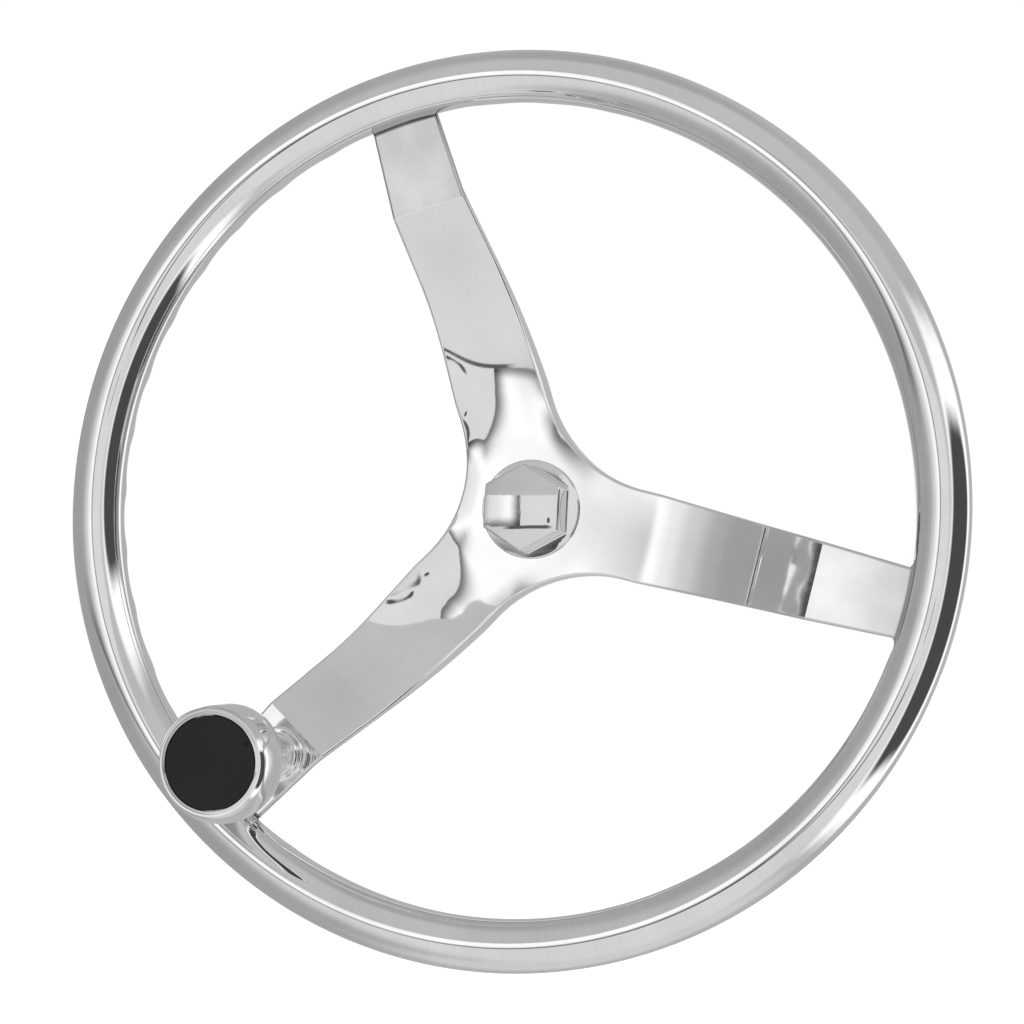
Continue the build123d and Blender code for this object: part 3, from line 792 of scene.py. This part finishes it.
def tab_bead(side):
    """Weld bead behind a tab, in its corner with the tube."""
    angle = ARM_ANGLES[side]
    rear = rear_y(TAB_END_R)
    corner = RIM_R - sqrt(TUBE_R**2 - (rear - RIM_Y) ** 2)
    half = 13.4
    skin = Skin()
    rows = []
    for beside in spread(-half, half, 90):
        taper = sqrt(max(1 - (abs(beside) / half) ** 6, 0.02))
        uneven = noise.noise(Vector((beside * 0.4, angle, 0)))
        wave = taper * (1 + 0.10 * abs(sin(beside * 2.1)) + 0.08 * uneven)
        row = []
        for lean in spread(190, 20, 10):
            r = corner + 2.7 * wave * cos(radians(lean)) + 0.6
            y = rear - 0.5 + 2.5 * wave * sin(radians(lean)) + 0.42 * (r - corner)
            row.append(on_wheel(sqrt(max(r * r - beside * beside, 0)), beside, y, angle))
        row.append(on_wheel(corner + 1.5, beside, rear - 1.5, angle))
        rows.append(row)
    skin.sheet(rows, closed=True)
    for row_start in (0, len(skin.points) - len(rows[0])):
        skin.faces.append(list(range(row_start, row_start + len(rows[0]))))
    name = f"tab_bead_{side}"
    return add_piece(name, skin, MATERIALS["weld_steel"], "wheel", f"tab_weld_{side}", 60)


# ---- assemble ---------------------------------------------------------------------------------

rim()
spider()
nut_cap()
knob_shell()
knob_neck()
post_collar()
insert_disc()
hub_bead()
for side in ARM_ANGLES:
    tab_bead(side)

for part in frame["record"]["subparts"]:
    frame["nodes"][part["node"]].data.materials.clear()
    frame["nodes"][part["node"]].data.materials.append(MATERIALS[part["material_slot"]])


# ---- studio -----------------------------------------------------------------------------------

class World(Shader):
    """Shader helpers on the world's tree. Its light is a brightness by direction."""

    def __init__(self):
        world = bpy.data.worlds.new("studio")
        bpy.context.scene.world = world
        world.use_nodes = True
        self.tree = world.node_tree
        self.place = self.tree.nodes.new("ShaderNodeTexCoord").outputs["Generated"]
        to_degrees = 180 / pi
        front = self.math("MULTIPLY", self.part(self.place, "Y"), -1.0)
        bearing = self.math("ARCTAN2", self.part(self.place, "X"), front)
        self.azimuth = self.math("MULTIPLY", bearing, to_degrees)
        height = self.math("ARCSINE", self.part(self.place, "Z"))
        self.elevation = self.math("MULTIPLY", height, to_degrees)

    def ramp(self, value, low, high, new_low, new_high):
        """As fit(), with soft ends."""
        node = self.tree.nodes.new("ShaderNodeMapRange")
        node.interpolation_type = "SMOOTHSTEP"
        for socket, number in zip(node.inputs, (value, low, high, new_low, new_high)):
            self.join(number, socket)
        return node.outputs[0]

    def offset(self, angle, middle, half):
        """How far an angle is from the middle of a panel, in its half widths, to the fourth power."""
        turn = self.math("WRAP", self.math("SUBTRACT", angle, middle), 180.0, -180.0)
        return self.math("POWER", self.math("ABSOLUTE", self.math("DIVIDE", turn, half)), 4.0)

    def window(self, angle, rise, fall):
        """1 between the two pairs of angles, 0 outside them, and soft from one to the other."""
        return self.math("MULTIPLY", self.ramp(angle, *rise, 0, 1), self.ramp(angle, *fall, 1, 0))

    def lay(self, under, mask, brightness):
        """Lay a brightness over what is there, as far as its mask goes."""
        rest = self.math("MULTIPLY", under, self.math("SUBTRACT", 1.0, mask))
        return self.math("ADD", rest, self.math("MULTIPLY", mask, brightness))

    def panel(self, under, azimuth, elevation, half_width, half_height, softness, brightness):
        """Lay a panel with round corners over what is there."""
        across = self.offset(self.azimuth, azimuth, half_width)
        above = self.offset(self.elevation, elevation, half_height)
        distance = self.math("POWER", self.math("ADD", across, above), 0.25)
        return self.lay(under, self.ramp(distance, 1 - softness / 2, 1 + softness / 2, 1, 0), brightness)


# Panels of the studio: (azimuth, elevation, half width, half height, softness, brightness), in degrees.
# Azimuth 0 is where the driver sits, 90 is to the driver's right and 180 behind the wheel.
WALLS, FLOOR_GLOW, CEILING = 0.54, 0.76, 0.46
PANELS = [
    (-95, 5, 50, 60, 0.7, 0.42),       # grey wall to the left
    (5, -35, 36, 44, 0.7, 0.82),       # pale front, low
    (15, 40, 44, 27, 0.7, 0.62),       # and high
    (83, -11, 46, 42, 0.25, 1.30),     # bright frame round the studio's opening
    (78, -12, 37, 27, 0.22, 0.08),     # the dark opening itself
    (-150, 20, 22, 17, 0.35, 1.40),    # window light from behind
]

# The band is the wall behind the camera, from its lower to its upper edge. Left of the gap it is the
# lamp's glow, as (azimuth, brightness), dim along the band's lower edge, and right of it the bare wall.
BAND, BAND_ENDS = (-7.5, 12.0), ((-75, -40), (20, 32))
GAP = -6.5
LAMP_GLOW = [(-75, 0.42), (-50, 0.50), (-34, 0.74), (-23, 1.02), (-14.5, 1.26), (GAP, 0.20)]
LAMP_EDGE, EDGE_GLOW = 7.0, 0.25
BACK_WALL = 0.86
LINE, LINE_ENDS = 0.12, ((GAP - 14, GAP - 6), (10, 16))    # the dark line just below the band
LENS = (12.0, -4.0, 0.8, 1.5, 0.3, 0.03)                   # the camera's lens, as a panel


def studio():
    world = World()
    light = world.lay(WALLS, world.ramp(world.elevation, 55, 75, 0, 1), CEILING)
    light = world.lay(light, world.ramp(world.elevation, -48, -70, 0, 1), FLOOR_GLOW)
    for panel in PANELS:
        light = world.panel(light, *panel)
    low, high = BAND
    band = world.window(world.elevation, (low - 0.3, low + 0.3), (high - 0.3, high + 0.3))
    lamp = LAMP_GLOW[0][1]
    for (start, dim), (end, bright) in zip(LAMP_GLOW, LAMP_GLOW[1:]):
        lamp = world.math("ADD", lamp, world.ramp(world.azimuth, start, end, 0, bright - dim))
    edge = world.ramp(world.elevation, low, low + LAMP_EDGE, EDGE_GLOW, 1)
    lamp = world.math("MULTIPLY", lamp, edge)
    lamp = world.lay(lamp, world.ramp(world.azimuth, GAP - 0.2, GAP + 0.2, 0, 1), BACK_WALL)
    reach = world.window(world.azimuth, *BAND_ENDS)
    light = world.lay(light, world.math("MULTIPLY", band, reach), lamp)
    line = world.window(world.elevation, (low - 2.2, low - 1.9), (low - 0.1, low + 0.2))
    ends = world.window(world.azimuth, *LINE_ENDS)
    light = world.lay(light, world.math("MULTIPLY", line, ends), LINE)
    light = world.panel(light, *LENS)
    seen = world.tree.nodes.new("ShaderNodeLightPath").outputs["Is Camera Ray"]
    background = world.tree.nodes["Background"]
    background.inputs["Strength"].default_value = 1.0
    world.join(world.lay(light, seen, 1.0), background.inputs["Color"])


def floor():
    """A wide pale floor under the wheel, as bright as the backdrop."""
    height = cad_bounds[0].z - 0.0005
    reach = 12.0
    mesh = bpy.data.meshes.new("floor")
    corners = [(-reach, -reach), (reach, -reach), (reach, reach), (-reach, reach)]
    mesh.from_pydata([(x, y, height) for x, y in corners], [], [(0, 1, 2, 3)])
    s = Shader("floor_paint")
    pale = s.tint(s.noise(3.0, 2.0), grey(0.86), grey(0.88))
    material = s.finish(pale, 0.9, Emission_Color=(1, 1, 1, 1), Emission_Strength=0.8)
    mesh.materials.append(material)
    ground = bpy.data.objects.new("floor", mesh)
    bpy.context.scene.collection.objects.link(ground)
    ground.visible_glossy = False


def camera():
    """The camera, to the right of the wheel and a little below its middle, fitted to its outline."""
    place = Vector((0.25671, -1.10524, -0.06196))
    aim = Vector((0.02019, -0.076, 0.04706))
    data = bpy.data.cameras.new("camera")
    data.sensor_width = 36.0
    data.lens = 87.417
    data.shift_x = -0.0382
    data.shift_y = -0.1168
    eye = bpy.data.objects.new("camera", data)
    eye.location = place
    eye.rotation_euler = (aim - place).to_track_quat("-Z", "Y").to_euler()
    bpy.context.scene.collection.objects.link(eye)
    bpy.context.scene.camera = eye


studio()
floor()
camera()
bpy.context.scene.view_settings.view_transform = "Standard"
